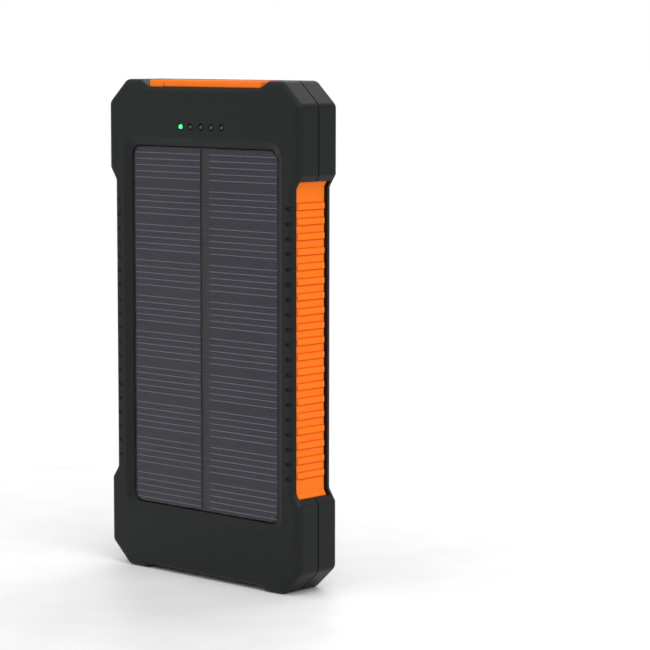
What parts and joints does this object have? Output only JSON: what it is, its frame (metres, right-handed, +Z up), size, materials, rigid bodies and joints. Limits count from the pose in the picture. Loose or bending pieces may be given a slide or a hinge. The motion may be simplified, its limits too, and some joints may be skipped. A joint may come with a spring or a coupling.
{
  "type": "solar phone charger",
  "caption": "Pocket battery pack with a solar panel, ribbed side grips, port cover, back lamp and a clip-on strap with compass and carabiner.",
  "frame": {"origin": "centre of the whole object's footprint, at the bottom edge that it stands on", "axes": "+Z up along the body's long side, -Y out of the solar face, +X to the right seen from the front"},
  "size_m": [0.0756, 0.0296, 0.142],
  "materials": {
    "black_shell": "soft-touch matte black",
    "orange_rubber": "matte orange",
    "panel_black": "matte black laminate",
    "solar_cell": "dark blue-grey silicon under resin",
    "clear": "clear glossy plastic",
    "white_plastic": "moulded white",
    "frosted_white": "frosted translucent white",
    "board_white": "white solder mask",
    "led_yellow": "phosphor yellow",
    "indicator_lit": "green light",
    "indicator_dark": "dark smoked light pipe",
    "black_steel": "black oxide",
    "nickel": "bright nickel plate",
    "brass": "turned",
    "circuit_green": "green solder mask",
    "ferrite": "sintered ferrite",
    "battery_foil": "laminated foil pouch",
    "foam": "closed-cell foam",
    "black_plastic": "moulded black",
    "lead_red": "red insulation",
    "lead_black": "black insulation",
    "webbing": "woven black polyester",
    "gloss_black": "gloss black enamel",
    "compass_green": "printed dial"
  },
  "bodies": {
    "charger": {"front_shell": "black_shell", "rear_shell": "black_shell", "panel_board": "panel_black", "solar_cells_left": "solar_cell", "solar_cells_right": "solar_cell", "panel_film": "clear", "side_grip_left": "orange_rubber", "side_grip_right": "orange_rubber", "port_cover_tail": "orange_rubber", "usb_socket_left": "nickel", "usb_socket_right": "nickel", "usb_tongue_left": "white_plastic", "usb_tongue_right": "white_plastic", "micro_usb_socket": "nickel", "micro_usb_tongue": "black_plastic", "main_board": "circuit_green", "charge_chip": "black_plastic", "boost_inductor": "ferrite", "battery_cell_front": "battery_foil", "battery_cell_back": "battery_foil", "battery_foam": "foam", "battery_lead_red": "lead_red", "battery_lead_black": "lead_black", "lamp_lens": "frosted_white", "lamp_board": "board_white", "lamp_led_1": "led_yellow", "lamp_led_2": "led_yellow", "lamp_led_3": "led_yellow", "lamp_led_4": "led_yellow", "lamp_led_5": "led_yellow", "lamp_led_6": "led_yellow", "indicator_1": "indicator_lit", "indicator_2": "indicator_dark", "indicator_3": "indicator_dark", "indicator_4": "indicator_dark", "indicator_5": "indicator_dark", "case_screw_1": "black_steel", "case_screw_2": "black_steel", "case_screw_3": "black_steel", "case_screw_4": "black_steel", "button_switch": "nickel"},
    "port_cover": {"port_cover": "orange_rubber"},
    "power_button": {"power_button": "orange_rubber"},
    "split_ring": {"split_ring": "nickel"},
    "strap": {"strap_webbing": "webbing", "compass_slider": "black_plastic", "compass_case": "black_plastic", "compass_dome": "clear", "compass_pivot": "brass"},
    "compass_card": {"compass_card": "compass_green"},
    "carabiner": {"carabiner_body": "gloss_black", "gate_pin": "nickel"},
    "gate": {"carabiner_gate": "nickel", "gate_spring": "nickel"}
  },
  "joints": [
    {"name": "port_cover_hinge", "type": "hinge", "parent": "charger", "child": "port_cover", "pos_m": [-0.016, -0.0079, 0.1419], "axis": [0, -1, 0], "range_deg": [0, 110]},
    {"name": "power_button_slide", "type": "slide", "parent": "charger", "child": "power_button", "axis": [0, 0, 1], "range_m": [0, 0.0006], "stiffness_N_per_m": 500, "springref_m": -0.0003},
    {"name": "ring_swing", "type": "hinge", "parent": "charger", "child": "split_ring", "pos_m": [0, 0.0017, 0.1195], "axis": [1, 0, 0], "range_deg": [0, 140]},
    {"name": "strap_swing", "type": "hinge", "parent": "split_ring", "child": "strap", "pos_m": [0, 0.00595, 0.09975], "axis": [1, 0, 0], "range_deg": [0, 45]},
    {"name": "compass_card_turn", "type": "hinge", "parent": "strap", "child": "compass_card", "pos_m": [0, 0.00945, 0.08095], "axis": [0, 1, 0], "continuous": true},
    {"name": "carabiner_swing", "type": "hinge", "parent": "strap", "child": "carabiner", "pos_m": [0, 0.00595, 0.05075], "axis": [1, 0, 0], "range_deg": [0, 90]},
    {"name": "gate_hinge", "type": "hinge", "parent": "carabiner", "child": "gate", "pos_m": [0.0105, 0.00595, 0.04175], "axis": [0, 1, 0], "range_deg": [0, 25], "stiffness_Nm_per_rad": 0.02, "springref_deg": -11.46}
  ]
}
